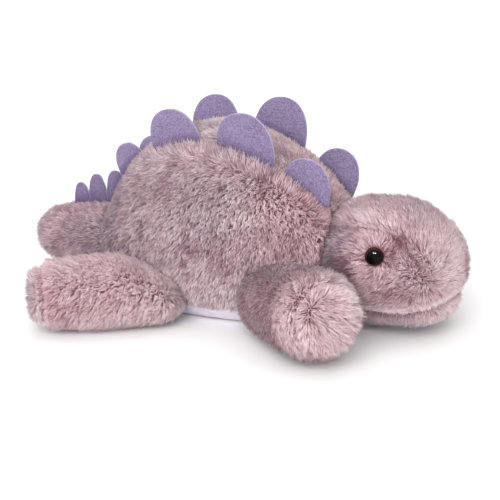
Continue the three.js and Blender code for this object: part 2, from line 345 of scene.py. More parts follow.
def body_mesh(name, inset, n=72, m=54):
    u, faces = sphere_grid(n, m)
    half = np.where(u[:, 0] < 0, 92.0, 99.0) - inset
    r = np.hypot(u[:, 1], u[:, 2]) + 1e-9
    cy, cz = u[:, 1] / r, u[:, 2] / r
    up = cz >= 0
    q = np.where(up, 2.05, 3.6)
    wide = (57 - inset) * rounded(u[:, 0], 2.2)
    high = np.where(up, (81 - inset) * rounded(u[:, 0], 1.75), (50 - inset) * rounded(u[:, 0], 2.8))
    k = np.maximum((np.abs(cy) ** q + np.abs(cz) ** q) ** (1 / q), 1e-9)
    p = np.stack([-12 + half * u[:, 0], wide * cy / k, 45 + high * cz / k], 1)
    return mesh_object(name, p, faces)


def egg_mesh(name, centre, radii, e, n=48, m=32):
    u, faces = sphere_grid(n, m)
    k = (np.abs(u) ** e).sum(1) ** (1 / e)
    return mesh_object(name, np.array(centre) + np.array(radii) * u / k[:, None], faces)


def ball_mesh(name, centre, r, n=40, m=28):
    return egg_mesh(name, centre, (r, r, r), 2.0, n, m)


def box_mesh(name, lo, hi):
    (a, b, c), (d, e, f) = lo, hi
    p = [(a, b, c), (d, b, c), (d, e, c), (a, e, c), (a, b, f), (d, b, f), (d, e, f), (a, e, f)]
    return mesh_object(name, p, [(0, 3, 2, 1), (4, 5, 6, 7), (0, 1, 5, 4), (1, 2, 6, 5), (2, 3, 7, 6), (3, 0, 4, 7)])


def prism_mesh(name, outline, z0, z1):
    n = len(outline)
    p = [(x, y, z0) for x, y in outline] + [(x, y, z1) for x, y in outline]
    faces = [tuple(range(n - 1, -1, -1)), tuple(range(n, 2 * n))]
    faces += [(i, (i + 1) % n, n + (i + 1) % n, n + i) for i in range(n)]
    return mesh_object(name, p, faces)


def relax(ob, move, rounds):
    """Evens a per-point move out over the mesh's edges."""
    e = np.zeros(len(ob.data.edges) * 2, np.int64)
    ob.data.edges.foreach_get("vertices", e)
    e = e.reshape(-1, 2)
    n = np.bincount(e.ravel(), minlength=len(move)).astype(float)[:, None]
    for _ in range(rounds):
        s = np.zeros_like(move)
        np.add.at(s, e[:, 0], move[e[:, 1]])
        np.add.at(s, e[:, 1], move[e[:, 0]])
        move = 0.4 * move + 0.6 * s / np.maximum(n, 1)
    return move


def puff(ob, voxel, cap, seam=None):
    """Swells a closed cover with a short cloth simulation. seam gives how tightly each point is held, from 0 to 1."""
    remesh(ob, voxel, 1)
    start = points_of(ob)
    cloth = ob.modifiers.new("cloth", "CLOTH")
    s = cloth.settings
    s.quality = 4
    s.mass = 0.002
    s.tension_stiffness = s.compression_stiffness = 1.0
    s.shear_stiffness = 0.5
    s.bending_stiffness = 0.02
    s.use_pressure = True
    s.uniform_pressure_force = 600
    s.effector_weights.gravity = 0
    if seam is not None:
        g = ob.vertex_groups.new(name="sewn")
        for i, w in enumerate(seam(start)):
            if w > 0.02:
                g.add([i], float(min(w, 1)), "REPLACE")
        s.vertex_group_mass = "sewn"
        s.pin_stiffness = 0.8
    cloth.point_cache.frame_start, cloth.point_cache.frame_end = 1, 20
    for f in range(1, 21):
        scene.frame_set(f)
    dg = bpy.context.evaluated_depsgraph_get()
    ev = ob.evaluated_get(dg).to_mesh()
    co = np.zeros(len(ev.vertices) * 3)
    ev.vertices.foreach_get("co", co)
    now = co.reshape(-1, 3) * 1000.0 - np.array([SHIFT_X, 0, 0])
    ob.evaluated_get(dg).to_mesh_clear()
    ob.modifiers.clear()
    ob.vertex_groups.clear()
    scene.frame_set(1)
    move = np.nan_to_num(now - start)
    size = np.linalg.norm(move, axis=1, keepdims=True)
    move = move * np.minimum(1, cap / np.maximum(size, 1e-6))
    set_points(ob, start + relax(ob, move, 3))
    sub = ob.modifiers.new("sub", "SUBSURF")
    sub.levels = sub.render_levels = 1
    settle(ob)
    ob.data.shade_smooth()
    return ob


# ---- materials ---------------------------------------------------------------------------
def srgb(r, g, b):
    def f(c):
        c /= 255.0
        return c / 12.92 if c <= 0.04045 else ((c + 0.055) / 1.055) ** 2.4

    return (f(r), f(g), f(b), 1.0)


class Nodes:
    def __init__(self, name, roughness=0.9, **sockets):
        self.mat = bpy.data.materials.new(name)
        self.mat.use_nodes = True
        self.tree = self.mat.node_tree
        self.bsdf = self.tree.nodes["Principled BSDF"]
        self.bsdf.inputs["Roughness"].default_value = roughness
        for k, v in sockets.items():
            self.bsdf.inputs[k].default_value = v

    def add(self, kind, inputs=(), **facts):
        n = self.tree.nodes.new(kind)
        for k, v in facts.items():
            setattr(n, k, v)
        for k, v in dict(inputs).items():
            if isinstance(v, bpy.types.NodeSocket):
                self.tree.links.new(v, n.inputs[k])
            else:
                n.inputs[k].default_value = v
        return n

    def math(self, op, a, b=0.0, c=0.0, clamp=False):
        n = self.add("ShaderNodeMath", operation=op, use_clamp=clamp)
        for i, v in enumerate((a, b, c)):
            if isinstance(v, bpy.types.NodeSocket):
                self.tree.links.new(v, n.inputs[i])
            else:
                n.inputs[i].default_value = v
        return n.outputs[0]

    def ramp(self, fac, stops, smooth_it=False):
        n = self.add("ShaderNodeValToRGB")
        n.color_ramp.interpolation = "EASE" if smooth_it else "LINEAR"
        e = n.color_ramp.elements
        while len(e) < len(stops):
            e.new(0.5)
        for el, (at, c) in zip(e, stops):
            el.position, el.color = at, c
        self.tree.links.new(fac, n.inputs["Fac"])
        return n.outputs["Color"]

    def mix(self, fac, a, b, blend="MIX"):
        n = self.add("ShaderNodeMix", data_type="RGBA", blend_type=blend, clamp_result=False)
        for k, v in ((0, fac), (6, a), (7, b)):
            if isinstance(v, bpy.types.NodeSocket):
                self.tree.links.new(v, n.inputs[k])
            else:
                n.inputs[k].default_value = v
        return n.outputs[2]

    def noise(self, scale, detail=3.0, rough=0.6, coords="Object"):
        t = self.add("ShaderNodeTexCoord")
        n = self.add("ShaderNodeTexNoise", {"Vector": t.outputs[coords], "Scale": scale, "Detail": detail, "Roughness": rough})
        return n.outputs["Fac"]

    def bump(self, height, strength=0.3, distance=0.0005):
        n = self.add("ShaderNodeBump", {"Height": height, "Strength": strength, "Distance": distance})
        self.tree.links.new(n.outputs["Normal"], self.bsdf.inputs["Normal"])

    def colour(self, socket):
        self.tree.links.new(socket, self.bsdf.inputs["Base Color"])

    def rough(self, socket):
        self.tree.links.new(socket, self.bsdf.inputs["Roughness"])


SHEEN = {"Sheen Weight": 0.35, "Sheen Roughness": 0.45, "Sheen Tint": (1.0, 0.93, 0.94, 1.0), "Specular IOR Level": 0.15}


def pile_material(name):
    """Frosted pile. OFBake's x holds a hue band and how pale the tuft is, from its frost and from the painted light and
    shade put into its tone, and y runs from root to tip.
    """
    m = Nodes(name, 0.85, **SHEEN)
    uv = m.add("ShaderNodeUVMap", uv_map="OFBake")
    xy = m.add("ShaderNodeSeparateXYZ", {0: uv.outputs[0]})
    x, y = xy.outputs[0], xy.outputs[1]
    wide = m.math("MULTIPLY", x, 4.0)
    hue = m.math("DIVIDE", m.math("FLOOR", wide), 3.0)
    tone = m.math("DIVIDE", m.math("SUBTRACT", m.math("FRACT", wide), 0.06), 0.88, clamp=True)
    grey = m.ramp(tone, [(0.0, srgb(110, 86, 101)), (0.5, srgb(183, 161, 168)), (1.0, srgb(234, 221, 225))])
    pink = m.ramp(tone, [(0.0, srgb(126, 78, 92)), (0.5, srgb(212, 174, 180)), (1.0, srgb(250, 228, 231))])
    tip = m.mix(hue, grey, pink)
    root = m.mix(hue, srgb(128, 103, 114), srgb(154, 108, 117))
    root = m.mix(m.math("MULTIPLY", tone, 0.5), root, tip)
    m.colour(m.mix(m.ramp(y, [(0.0, (0, 0, 0, 1)), (0.35, (0.25, 0.25, 0.25, 1)), (0.75, (0.9, 0.9, 0.9, 1)), (1.0, (1, 1, 1, 1))]), root, tip))
    return m.mat


def backing_material(name, a, b):
    """The knitted ground that the pile grows from."""
    m = Nodes(name, 0.95, **{"Specular IOR Level": 0.1})
    t = m.add("ShaderNodeTexCoord")
    v = m.add("ShaderNodeTexVoronoi", {"Vector": t.outputs["Object"], "Scale": 900.0})
    n = m.noise(120.0)
    c = m.ramp(n, [(0.3, srgb(*a)), (0.7, srgb(*b))])
    c = m.mix(m.math("MULTIPLY", v.outputs["Distance"], 0.6), c, srgb(104, 74, 86))
    m.colour(c)
    m.bump(v.outputs["Distance"], 0.4, 0.0004)
    return m.mat


def belly_material():
    """Short smooth velour, pale lavender."""
    m = Nodes("belly_velour", 0.8, **SHEEN)
    fine, broad = m.noise(1500.0, 4.0, 0.7), m.noise(60.0, 2.0)
    c = m.ramp(broad, [(0.3, srgb(214, 206, 222)), (0.7, srgb(232, 227, 238))])
    c = m.mix(m.math("MULTIPLY", fine, 0.35), c, srgb(188, 176, 200))
    m.colour(c)
    m.bump(fine, 0.35, 0.0004)
    return m.mat


def felt_material():
    m = Nodes("lavender_felt", 0.95, **{"Sheen Weight": 0.25, "Sheen Roughness": 0.6, "Sheen Tint": (0.9, 0.86, 1.0, 1.0), "Specular IOR Level": 0.1})
    t = m.add("ShaderNodeTexCoord")
    warp = m.add("ShaderNodeTexNoise", {"Vector": t.outputs["Object"], "Scale": 300.0, "Detail": 2.0})
    shifted = m.add("ShaderNodeVectorMath", {0: warp.outputs["Color"], 1: (0.0016, 0.0016, 0.0016), 2: t.outputs["Object"]}, operation="MULTIPLY_ADD")
    fibre = m.add("ShaderNodeTexNoise", {"Vector": shifted.outputs[0], "Scale": 900.0, "Detail": 5.0, "Roughness": 0.8}).outputs["Fac"]
    broad = m.noise(90.0, 3.0)
    c = m.ramp(broad, [(0.3, srgb(92, 77, 110)), (0.7, srgb(111, 96, 129))])
    c = m.mix(m.ramp(fibre, [(0.38, (0.0, 0.0, 0.0, 1)), (0.62, (0.75, 0.75, 0.75, 1))]), c, srgb(163, 149, 184))
    # painted shade: the felt is painted darker towards its foot, where the pile shades it
    up = m.add("ShaderNodeAttribute", attribute_name="height").outputs["Fac"]
    low = m.ramp(up, [(0.0, (0.75, 0.75, 0.75, 1)), (0.45, (0.12, 0.12, 0.12, 1)), (1.0, (0.0, 0.0, 0.0, 1))])
    c = m.mix(low, c, srgb(78, 62, 98))
    # painted highlight: the felt's cut edge is painted paler, where light catches it
    cut = m.add("ShaderNodeAttribute", attribute_name="edge").outputs["Fac"]
    m.colour(m.mix(m.math("MULTIPLY", cut, 0.55), c, srgb(190, 178, 208)))
    m.bump(fibre, 0.8, 0.0005)
    return m.mat


def filling_material():
    m = Nodes("polyester_filling", 0.9, **{"Specular IOR Level": 0.2})
    t = m.add("ShaderNodeTexCoord")
    w = m.add("ShaderNodeTexWave", {"Vector": t.outputs["Object"], "Scale": 160.0, "Distortion": 14.0, "Detail": 4.0})
    c = m.mix(m.math("MULTIPLY", w.outputs["Fac"], 0.5), srgb(244, 242, 238), srgb(214, 210, 206))
    m.colour(m.mix(m.math("MULTIPLY", m.noise(70.0), 0.3), c, srgb(226, 222, 216)))
    m.bump(w.outputs["Fac"], 0.5, 0.0006)
    return m.mat


def eye_material():
    """Glossy moulded plastic: a black pupil behind a clear dome with a dark brown ring round it."""
    m = Nodes("eye_gloss", 0.12, **{"Specular IOR Level": 0.13})
    ring = m.add("ShaderNodeAttribute", attribute_name="ring").outputs["Fac"]
    n = m.noise(700.0, 3.0)
    brown = m.mix(m.math("MULTIPLY", n, 0.6), srgb(62, 32, 24), srgb(34, 16, 12))
    m.colour(m.mix(m.ramp(ring, [(0.70, (0, 0, 0, 1)), (0.80, (1, 1, 1, 1))], True), srgb(8, 6, 6), brown))
    return m.mat


def washer_material():
    m = Nodes("washer_moulding", 0.45)
    n = m.noise(220.0, 4.0)
    m.colour(m.ramp(n, [(0.35, srgb(226, 224, 216)), (0.65, srgb(238, 236, 230))]))
    m.rough(m.math("MULTIPLY_ADD", n, 0.2, 0.35))
    return m.mat


MAT = {
    "pile": pile_material("frosted_pile"),
    "backing": backing_material("pile_backing", (138, 102, 114), (156, 118, 128)),
    "belly": belly_material(),
    "felt": felt_material(),
    "filling": filling_material(),
    "eye": eye_material(),
    "washer": washer_material(),
}


def finish_piece(ob, body, nodes=(), mat=None):
    if mat is not None:
        ob.data.materials.clear()
        ob.data.materials.append(MAT[mat])
    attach(ob, body)
    if nodes:
        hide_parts(*nodes)
    return ob


# ---- pile ----------------------------------------------------------------------------------
class Surface:
    """A closed cover, ready to grow pile from."""

    def __init__(self, ob):
        self.p, self.n = points_of(ob), normals_of(ob)
        me = ob.data
        me.calc_loop_triangles()
        t = np.zeros(len(me.loop_triangles) * 3, np.int32)
        me.loop_triangles.foreach_get("vertices", t)
        self.t = t.reshape(-1, 3)
        a, b, c = (self.p[self.t[:, k]] for k in range(3))
        self.area = 0.5 * np.linalg.norm(np.cross(b - a, c - a), axis=1)

    def grow(self, per_mm2, rng, keep=None):
        mid = self.p[self.t].mean(1)
        want = self.area * per_mm2
        if keep is not None:
            want = want * keep(mid, unit(self.n[self.t].mean(1)))
        n = rng.poisson(want)
        tri = np.repeat(np.arange(len(n)), n)
        u, v = rng.random(len(tri)), rng.random(len(tri))
        flip = u + v > 1
        u[flip], v[flip] = 1 - u[flip], 1 - v[flip]
        w = np.stack([1 - u - v, u, v], 1)[:, :, None]
        return (self.p[self.t[tri]] * w).sum(1), unit((self.n[self.t[tri]] * w).sum(1))


def tufts(name, p, n, comb, length, hue, tone, lean, rng, width=0.195, clump=1.8, gather=0.15, wild=0.6):
    """Arrays of a field of tufts: each stands on p, leans towards comb, and its tip is drawn into a clump."""
    count = len(p)
    centre, key, _ = clumps(p, clump, 11)
    r1, r2, r3 = (hashed(key, s) * 2 - 1 for s in (21, 22, 23))
    t = comb - n * (comb * n).sum(1, keepdims=True)
    t = unit(t)
    s = np.cross(n, t)
    # each clump leans its own way, and each tuft a little more
    swirl = wild * r1 + 0.10 * rng.standard_normal(count)
    t2 = unit(t * np.cos(swirl)[:, None] + s * np.sin(swirl)[:, None])
    lean = lean + 0.22 * r2 + 0.10 * rng.standard_normal(count)
    low, high = np.clip(lean * 0.55, 0.05, 1.1), np.clip(lean * 1.35, 0.1, 1.35)
    d0 = n * np.cos(low)[:, None] + t2 * np.sin(low)[:, None]
    d1 = n * np.cos(high)[:, None] + t2 * np.sin(high)[:, None]
    length = length * (1 + 0.14 * r3) * (0.82 + 0.36 * rng.random(count))
    mid = p + d0 * (length * 0.62)[:, None]
    tip = mid + d1 * (length * 0.38)[:, None]
    pull = centre - p
    pull = pull - n * (pull * n).sum(1, keepdims=True)
    mid = mid + pull * (gather * 0.45)
    tip = tip + pull * gather + s * (0.25 * rng.standard_normal(count))[:, None]
    tone = tone + 0.12 * r1 + 0.16 * rng.standard_normal(count)
    return dict(p=p, n=n, mid=mid, tip=tip, hue=hue, tone=tone, width=np.full(count, width))


def pile_object(name, f, rng, body):
    """Makes the tufts' meshes, no more than 190 000 triangles in one."""
    order = np.argsort(f["p"][:, 0])
    parts = max(1, math.ceil(len(order) * 10 / 190000))
    made = []
    for k, idx in enumerate(np.array_split(order, parts)):
        g = {a: b[idx] for a, b in f.items()}
        label = name if parts == 1 else f"{name}_{k + 1}"
        made.append(_tuft_mesh(label, g, rng))
        finish_piece(made[-1], body, mat="pile")
    return made


def _tuft_mesh(name, g, rng):
    c = len(g["p"])
    root = g["p"] - g["n"] * 0.6
    mid, tip = g["mid"].copy(), g["tip"].copy()
    for q in (mid, tip):
        q[:, 2] = np.maximum(q[:, 2], 0.35)
    root[:, 2] = np.maximum(root[:, 2], 0.9)
    axis = unit(tip - root)
    a = unit(np.cross(axis, g["n"] + 0.01))
    b = np.cross(axis, a)
    turn0 = rng.random(c) * 2.1
    v = np.zeros((c, 7, 3))
    nor = np.zeros((c, 7, 3))
    for k in range(3):
        ang = turn0 + k * 2.0944
        out = a * np.cos(ang)[:, None] + b * np.sin(ang)[:, None]
        v[:, k] = root + out * g["width"][:, None]
        v[:, 3 + k] = mid + out * g["width"][:, None] * 1.12
        nor[:, k] = nor[:, 3 + k] = out
    v[:, 6] = tip
    nor[:, 6] = axis
    soft = g["n"][:, None, :]
    nor = unit(nor * 0.55 + soft * 0.75)
    co = place(v.reshape(-1, 3)).astype(np.float32)
    co[:, 2] = np.maximum(co[:, 2], 0.0001)
    base = (np.arange(c) * 7)[:, None]
    quads = np.array([0, 1, 4, 3, 1, 2, 5, 4, 2, 0, 3, 5])
    tris = np.array([3, 4, 6, 4, 5, 6, 5, 3, 6, 2, 1, 0])
    loops = np.concatenate([base + quads, base + tris], 1).ravel()
    sizes = np.tile(np.array([4, 4, 4, 3, 3, 3, 3]), c)
    starts = np.concatenate([[0], np.cumsum(sizes)[:-1]])
    me = bpy.data.meshes.new(name)
    me.vertices.add(c * 7)
    me.loops.add(len(loops))
    me.polygons.add(len(sizes))
    me.vertices.foreach_set("co", co.ravel())
    me.loops.foreach_set("vertex_index", loops.astype(np.int32))
    me.polygons.foreach_set("loop_start", starts.astype(np.int32))
    me.polygons.foreach_set("loop_total", sizes.astype(np.int32))
    me.update(calc_edges=True)
    band = np.clip(np.floor(np.clip(g["hue"], 0, 1) * 3 + rng.random(c)), 0, 3)
    x = (band + 0.06 + 0.88 * np.clip(g["tone"], 0.01, 0.99)) / 4
    ux = np.stack([x - 0.0012, x, x + 0.0012, x - 0.0012, x, x + 0.0012, x], 1).ravel()
    uy = np.tile(np.array([0.02, 0.02, 0.02, 0.66, 0.66, 0.66, 0.98]), c)
    uv = me.uv_layers.new(name="OFBake")
    uv.data.foreach_set("uv", np.stack([ux[loops], uy[loops]], 1).astype(np.float32).ravel())
    me.polygons.foreach_set("use_smooth", np.ones(len(sizes), bool))
    me.normals_split_custom_set_from_vertices(nor.reshape(-1, 3).astype(np.float32))
    ob = bpy.data.objects.new(name, me)
    scene.collection.objects.link(ob)
    return ob


def toward(*v):
    return lambda p: np.tile(np.array(v, float), (len(p), 1))


def mottle(p, seed, a=0.12, b=0.12, c=0.10):
    return a * noise(p, 26.0, seed) + b * noise(p, 9.0, seed + 1) + c * noise(p, 3.6, seed + 2)


def speckle(p, seed):
    """Where the clumps part and the dark roots show, from 0 to 1."""
    s = noise(p, 4.6, seed) + 0.6 * noise(p, 2.2, seed + 5)
    patch = smooth((noise(p, 30.0, seed + 9) + 0.65) / 1.0)
    return smooth((s - 0.25) / 0.5) * patch


# ---- body --------------------------------------------------------------------------------
LEGS = [(w, n, s) for w in ("front", "rear") for n, s in (("right", -1), ("left", 1))]


def leg_tools(inset, swings=(0.0, -5.0)):
    return [limb_mesh("tool", placed(w, s, t), inset, 28) for w, _, s in LEGS for t in swings]


def hold_body(p):
    seam = np.exp(-((p[:, 2] - BELLY_Z) / 4) ** 2)
    strip = np.exp(-(strip_edge(p) / 4) ** 2) * (p[:, 2] > 50)
    return np.maximum(seam, 0.5 * strip) * 0.8


core = body_mesh("body_core", SKIN + PUFF)
puff(core, 4.5, PUFF, hold_body)
p = points_of(core)
p += normals_of(core) * (3.4 * smooth((16.0 - p[:, 2]) / 4.5))[:, None]
p[:, 2] = np.maximum(p[:, 2], 0.4)
set_points(core, p)
for tool in leg_tools(1.4) + [ball_mesh("tool", NECK, NECK_R - 1.6), ball_mesh("tool", TAIL, TAIL_R - 1.6)]:
    boolean(core, tool, "DIFFERENCE")
remesh(core, 2.3, 3)
p, n = points_of(core), normals_of(core)
dent = 0.7 * np.exp(-(strip_edge(p) / 2.2) ** 2) * (p[:, 2] > 50)
dent += 0.9 * np.exp(-((p[:, 2] - BELLY_Z) / 2.0) ** 2)
dent += 4.0 * smooth((-58 - p[:, 0]) / 24) * smooth((p[:, 2] - 46) / 14)
p = p - n * dent[:, None]
p[:, 2] = np.maximum(p[:, 2], 0.4)
set_points(core, p)
BODY_SKIN = Surface(core)


def shell_of(ob, name, thick):
    s = copy(ob, name)
    m = s.modifiers.new("cloth", "SOLIDIFY")
    m.thickness, m.offset, m.use_even_offset = thick / 1000.0, -1.0, False
    settle(s)
    s.data.shade_smooth()
    return s


def strip_tool(extra, z0=45.0, z1=160.0):
    pts = [(x, y + extra) for x, y in zip(STRIP_X, STRIP_Y)]
    pts[0] = (pts[0][0] - extra, pts[0][1])
    pts[-1] = (pts[-1][0] + extra, pts[-1][1])
    return prism_mesh("tool", [(x, -y) for x, y in pts] + [(x, y) for x, y in reversed(pts)], z0, z1)


shell = shell_of(core, "shell", 1.5)
belly = copy(shell, "belly_panel_cloth")
boolean(belly, box_mesh("tool", (-250, -250, -50), (250, 250, BELLY_Z)), "INTERSECT")
finish_piece(belly, "body", ["belly_panel"], "belly")
upper = copy(shell, "upper")
boolean(upper, box_mesh("tool", (-250, -250, BELLY_Z + 0.3), (250, 250, 250)), "INTERSECT")
gusset = copy(upper, "back_gusset_cloth")
boolean(gusset, strip_tool(0), "INTERSECT")
finish_piece(gusset, "body", ["back_gusset"], "backing")
boolean(upper, strip_tool(0.3), "DIFFERENCE")
for side_name, lo, hi in (("right", -250, -0.15), ("left", 0.15, 250)):
    half = copy(upper, f"body_side_{side_name}_cloth")
    boolean(half, box_mesh("tool", (-250, lo, -50), (250, hi, 250)), "INTERSECT")
    finish_piece(half, "body", [f"body_side_{side_name}"], "backing")
bpy.data.objects.remove(upper)
bpy.data.objects.remove(shell)


def lumpy(ob, seed, size=0.7):
    q, m = points_of(ob), normals_of(ob)
    set_points(ob, q + m * (size * noise(q, 9.0, seed) + 0.4 * size * noise(q, 4.0, seed + 1) - size)[:, None])
    ob.data.shade_smooth()
    return ob


fill = body_mesh("body_filling", SKIN + 4.2, 56, 40)
boolean(fill, box_mesh("tool", (-250, -250, -50), (250, 250, 4.0)), "DIFFERENCE")
for tool in leg_tools(-2.4) + [ball_mesh("tool", NECK, NECK_R + 2.4), ball_mesh("tool", TAIL, TAIL_R + 2.4)]:
    boolean(fill, tool, "DIFFERENCE")
remesh(fill, 4.0, 2)
p, n = points_of(fill), normals_of(fill)  # it stays under the drawn-in rump
set_points(fill, p - n * (5.0 * smooth((-56 - p[:, 0]) / 22) * smooth((p[:, 2] - 42) / 14))[:, None])
lumpy(fill, 3)
finish_piece(fill, "body", ["body_stuffing"], "filling")

rng = np.random.default_rng(20)


def neighbours_gap(p, own):
    """Room, in mm, before a point's pile meets the cloth of a neighbour."""
    gap = np.full(len(p), 99.0)
    if own != "body":
        pass
    if own != "head":
        gap = np.minimum(gap, head_depth(p, SKIN))
    if own != "tail":
        gap = np.minimum(gap, limb_depth(TAIL_LIMB, p, SKIN))
    for w, nm, s in LEGS:
        if own != w + nm:
            gap = np.minimum(gap, limb_depth(placed(w, s), p, SKIN))
    return gap


def plate_room(p):
    """How near a point is to a plate's foot, from 1 at the felt to 0 away from it."""
    near = np.zeros(len(p))
    for q in PLATE_FEET:
        d = np.abs(p[:, 1] - q[1])
        along = np.maximum(0, np.abs(p[:, 0] - q[0]) - q[2])
        near = np.maximum(near, np.exp(-((d / 3.2) ** 2 + (along / 3.0) ** 2)) * (p[:, 2] > 40))
    return near


PLATE_FEET = []
for i, P in enumerate(ROW):
    PLATE_FEET.append((P["x"] - 4, -P["y"] - 1.5, P["w"] * 0.48))
    PLATE_FEET.append((P["x"] - 4 + [1, 2.5, 0, 1][i], P["y"] + 1.5, P["w"] * 0.48))
for P in TAIL_PLATES:
    PLATE_FEET.append((P["x"], 0.0, P["w"] * 0.46))

p, n = BODY_SKIN.grow(DENSITY, rng, lambda m, nn: (m[:, 2] > BELLY_Z + 0.6) * 1.0)
keep = neighbours_gap(p, "body") > 0.5
keep &= head_depth(p, 12.0) > 0  # nothing grows deep in the neck's socket
keep &= limb_depth(TAIL_LIMB, p, 12.0) > 0
p, n = p[keep], n[keep]
gap = neighbours_gap(p, "body")
edge = strip_edge(p)
top = (edge < 0) & (p[:, 2] > 50)
rump = smooth((-58 - p[:, 0]) / 24)
front = smooth((p[:, 0] - 20) / 55)
low = smooth((60 - p[:, 2]) / 40)
comb = np.stack([-0.25 - 0.5 * top, 0.55 * np.sign(p[:, 1]) * top * (np.abs(p[:, 1]) > 2), -1.0 + 0.6 * top], 1)
comb[:, 0] += 0.5 * noise(p, 34.0, 71)
length = 6.4 - 2.1 * rump - 0.1 * top
seam = np.exp(-(edge / 1.6) ** 2) * (p[:, 2] > 50)
length = length * (1 - 0.15 * (seam - plate_room(p)))
# outside the plates' feet the pile stands up against the felt
foot = np.exp(-((edge - 2.0) / 5.0) ** 2) * (p[:, 2] > 50)
comb = comb * (1 - foot[:, None]) + foot[:, None] * np.stack([0 * edge, -np.sign(p[:, 1]) * np.sign(edge) * 0.6, 0 * edge + 0.9 * (edge > 0)], 1)
length = length + 1.0 * foot * (edge > 0)
length = length - 2.0 * smooth((BELLY_Z + 5 - p[:, 2]) / 5)
length = np.minimum(length, np.maximum(1.6, gap * 0.95))
spec = speckle(p, 31)
# painted shade: along the dented seam of the top strip, away from the plates' feet, the pile is painted darker
tone = 0.54 + mottle(p, 41, c=0.14) - 0.30 * spec - 0.36 * rump - 0.05 * smooth((-8 - p[:, 0]) / 30) - 0.02 * front + 0.10 * low - 0.2 * seam * (1 - foot) + 0.08 * top
# painted shade: near the head, in the crease of the neck, the pile is painted darker
tone -= 0.26 * smooth((8 - head_depth(p, SKIN)) / 8) + 0.05 * front
hue = 0.40 - 0.45 * rump + 0.55 * front + 0.10 * low + 0.35 * noise(p, 40.0, 51) - 0.10 * top
f = tufts("body", p, n, comb, length, hue, tone, 0.68 - 0.48 * foot, rng, clump=1.65)
sets = {
    "back_gusset_pile": (top, "fur_top"),
    "body_side_right_pile": (~top & (p[:, 1] < 0), "fur_body"),
    "body_side_left_pile": (~top & (p[:, 1] >= 0), "fur_body"),
}
for name, (m, slot) in sets.items():
    pile_object(name, {a: b[m] for a, b in f.items()}, rng, "body")
bpy.data.objects.remove(core)


# ---- head -------------------------------------------------------------------------------
def head_solid(name, inset, fine=1.0):
    h = egg_mesh(name, (113, 0, 45), np.array([42, 43, 37.5]) - inset, 2.3)
    boolean(h, egg_mesh("tool", (115, 0, 22.5), np.array([39, 36, 15.5]) - inset, 2.5), "UNION")
    boolean(h, box_mesh("tool", (-250, -250, -60), (float(NECK[0]), 250, 250)), "DIFFERENCE")
    return boolean(h, ball_mesh("tool", NECK, NECK_R - inset), "UNION")


def hold_head(p):
    lip = np.exp(-(over_lip(p) / 3.5) ** 2) * (p[:, 0] > 100)
    strip = np.exp(-(head_edge(p) / 3.5) ** 2) * (p[:, 2] > 50)
    return np.maximum(lip, strip) * 0.9


core = head_solid("head_core", SKIN + PUFF)
puff(core, 3.6, PUFF, hold_head)
remesh(core, 2.0, 2)
p, n = points_of(core), normals_of(core)
# the brow rounds off above the nose
corner = np.clip((p[:, 0] - 113) / 42, 0, 1) * np.clip((p[:, 2] - 45) / 37.5, 0, 1) * 2
p = p - n * (4.2 * smooth(corner))[:, None]
fwd = smooth((p[:, 0] - 88) / 14)
dent = 3.0 * np.exp(-((over_lip(p) + 0.5) / 1.8) ** 2) * fwd
dent -= 1.7 * np.exp(-((over_lip(p) - 4.0) / 2.4) ** 2) * fwd  # the rolled upper lip
along = smooth((p[:, 0] - 70) / 12) * smooth((p[:, 2] - 46) / 6)
dent += 3.1 * np.exp(-(head_edge(p) / 1.8) ** 2) * along
dent -= 1.0 * np.exp(-((head_edge(p) + 3.6) / 2.4) ** 2) * along
# the cloth meets the eye's rim
near_eye = np.hypot(p[:, 0] - EYE[0], p[:, 2] - EYE[2]) + 99 * (np.abs(p[:, 1]) < 20)
dent = dent * (1 - np.exp(-((near_eye / 9.0) ** 2)))
p = p - n * dent[:, None]
out = np.maximum(0, EYE[1] - 3.8 - np.abs(p[:, 1])) * np.exp(-((near_eye / 8.5) ** 4))
p[:, 1] += np.sign(p[:, 1]) * out
p[:, 2] = np.maximum(p[:, 2], 3.0)
set_points(core, p)
HEAD_SKIN = Surface(core)
shell = shell_of(core, "shell", 1.5)
for side in (-1, 1):  # holes for the eye stems
    y0, y1 = sorted((side * 20.0, side * 60.0))
    a = np.arange(24) * math.pi / 12
    ring = [(EYE[0] + 3.0 * math.cos(t), EYE[2] + 3.0 * math.sin(t)) for t in a]
    tool = prism_mesh("tool", ring, 0, 1)
    q = points_of(tool)
    set_points(tool, np.stack([q[:, 0], y1 - (y1 - y0) * q[:, 2], q[:, 1]], 1))
    boolean(shell, tool, "DIFFERENCE")


def lip_tool(extra, up):
    """Everything under the mouth seam, or over it."""
    line = [(x, z + extra) for x, z in zip(LIP_X, LIP_Z)]
    far = 250.0 if up else -50.0
    ring = line + [(LIP_X[-1], far), (LIP_X[0], far)]
    tool = prism_mesh("tool", ring if up else ring[::-1], 0, 1)
    q = points_of(tool)
    set_points(tool, np.stack([q[:, 0], 250 - 500 * q[:, 2], q[:, 1]], 1))
    return tool


def head_strip_tool(extra, z0):
    pts = [(x, y + extra) for x, y in zip(HEAD_STRIP_X, HEAD_STRIP_Y)]
    return prism_mesh("tool", [(x, -y) for x, y in pts] + [(x, y) for x, y in reversed(pts)], z0, 250)


